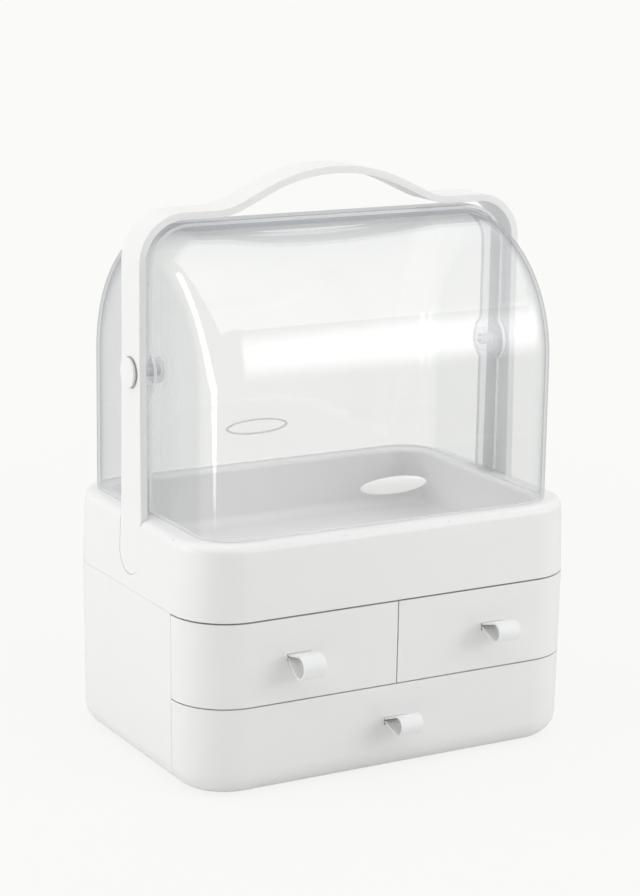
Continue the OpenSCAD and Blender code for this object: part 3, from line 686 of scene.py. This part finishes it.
def easedCopy(node, width):
    source = frame["nodes"][node]
    words = node.split("_")
    name = words[0] + "".join(w.capitalize() for w in words[1:])
    piece = bpy.data.objects.new(name, source.data.copy())
    bpy.context.scene.collection.objects.link(piece)
    only(piece)
    bpy.ops.object.mode_set(mode="EDIT")
    bpy.ops.mesh.select_all(action="SELECT")
    bpy.ops.mesh.customdata_custom_splitnormals_clear()
    bpy.ops.mesh.remove_doubles(threshold=0.000002)
    bpy.ops.mesh.dissolve_limited(angle_limit=radians(0.6), delimit={"SHARP"})
    bpy.ops.object.mode_set(mode="OBJECT")
    roundEdges(piece, width, 2, 32)
    smooth(piece, 32)
    return piece


for node, width in eased.items():
    standIn(easedCopy(node, width), node)

# camera, lamps and stage
camera = {"place": (-0.838943, -1.476548, 0.607306), "turn": (76.605594, -0.822602, -29.328021),
          "lens": 100.547, "sensor": 36, "far": 30}


def setCamera():
    nothingSelected()
    turn = [radians(a) for a in camera["turn"]]
    bpy.ops.object.camera_add(location=camera["place"], rotation=turn)
    lens = bpy.context.object
    lens.data.lens = camera["lens"]
    lens.data.sensor_width = camera["sensor"]
    lens.data.clip_end = camera["far"]
    bpy.context.scene.camera = lens


lampAim = (0, 0, 0.25)
lamps = {
    "front right panel": {"place": (1.35, -1.45, 0.78), "size": (2.9, 1.6), "power": 52,
                          "soft": 0.45},
    "left strip": {"place": (-1.49, 0.22, 0.37), "size": (1.95, 0.3), "roll": -31, "power": 11.5},
    "ceiling": {"place": (0, 0, 2.2), "size": (5, 5), "power": 96},
}
stage = {"white": (0.957, 0.964, 0.936, 1), "fill": 0.12, "mirrored": 0.72, "floor": 0.85,
         "glowNear": 0.88, "glowFrom": 0.3, "glowTo": 1.1, "size": 12, "drop": 0.0002}


def softenLamp(light, share):  # the light fades towards the rim of its panel
    kit = MaterialKit(light.name, light)
    across = kit.node("ShaderNodeSeparateXYZ", {}, {0: kit.node("ShaderNodeNewGeometry")[5]})
    level = 1.0
    for place in across[:2]:
        for inward in (place, 1 - place):
            level = level * kit.node("ShaderNodeMapRange", {"interpolation_type": "SMOOTHSTEP"}, {
                "Value": inward, "From Min": 0.0, "From Max": share})[0]
    glow = kit.node("ShaderNodeEmission", {}, {"Color": (1, 1, 1, 1), "Strength": level})[0]
    kit.node("ShaderNodeOutputLight", {}, {0: glow})


def setLamps():
    for name, v in lamps.items():
        nothingSelected()
        aim = Vector(lampAim) - Vector(v["place"])
        turn = aim.to_track_quat("-Z", "Y") @ Quaternion((0, 0, 1), radians(v.get("roll", 0)))
        bpy.ops.object.light_add(type="AREA", location=v["place"], rotation=turn.to_euler())
        lamp = bpy.context.object
        lamp.name = name
        lamp.data.shape = "RECTANGLE"
        lamp.data.size, lamp.data.size_y = v["size"]
        lamp.data.energy = v["power"]
        lamp.visible_camera = False
        if "soft" in v:
            softenLamp(lamp.data, v["soft"])


def setStage():
    # one strength for what lights the object, one for what gloss mirrors, white for the camera
    world = bpy.data.worlds.new("studio")
    bpy.context.scene.world = world
    kit = MaterialKit("studio", world)
    path = kit.node("ShaderNodeLightPath")
    seen = path[0].orMore(path[6])  # by the camera, also through clear walls
    level = kit.node("ShaderNodeMix", {"data_type": "FLOAT"},
                     {0: path[3], 2: stage["fill"], 3: stage["mirrored"]})[0]
    light = kit.node("ShaderNodeBackground", {}, {"Color": (1, 1, 1, 1), "Strength": level})[0]
    white = kit.node("ShaderNodeBackground", {}, {"Color": stage["white"], "Strength": 1.0})[0]
    kit.node("ShaderNodeOutputWorld", {}, {0: kit.mix(seen, light, white)})

    nothingSelected()
    bpy.ops.mesh.primitive_plane_add(size=stage["size"], location=(0, 0, -stage["drop"]))
    floor = named(bpy.context.object, "floor")
    kit = MaterialKit("pale floor")
    path = kit.node("ShaderNodeLightPath")
    tone = stage["floor"]
    lit = kit.node("ShaderNodeBsdfDiffuse", {}, {"Color": (tone, tone, tone, 1)})[0]
    glow = kit.node("ShaderNodeEmission", {}, {"Color": stage["white"], "Strength": 1.0})[0]
    # the floor turns into the plain background away from the object and keeps its shadow near it
    far = kit.node("ShaderNodeVectorMath", {"operation": "LENGTH"},
                   {0: kit.node("ShaderNodeTexCoord")[3]})[1]
    share = kit.node("ShaderNodeMapRange", {"interpolation_type": "SMOOTHSTEP"}, {
        "Value": far, "From Min": stage["glowFrom"], "From Max": stage["glowTo"],
        "To Min": stage["glowNear"], "To Max": 1.0})[0]
    seen = path[0].orMore(path[6])  # by the camera, also through clear walls
    pale = kit.mix(seen * share, lit, glow)
    clear = kit.node("ShaderNodeBsdfTransparent")[0]  # gloss looks past the floor to the world
    kit.node("ShaderNodeOutputMaterial", {}, {0: kit.mix(path[3], pale, clear)})
    floor.data.materials.append(kit.owner)
    bpy.context.scene.view_settings.view_transform = "Standard"
    bpy.context.scene.cycles.transparent_max_bounces = 24  # light crosses up to six clear walls


setCamera()
setLamps()
setStage()
print("camera, lamps and stage ready")
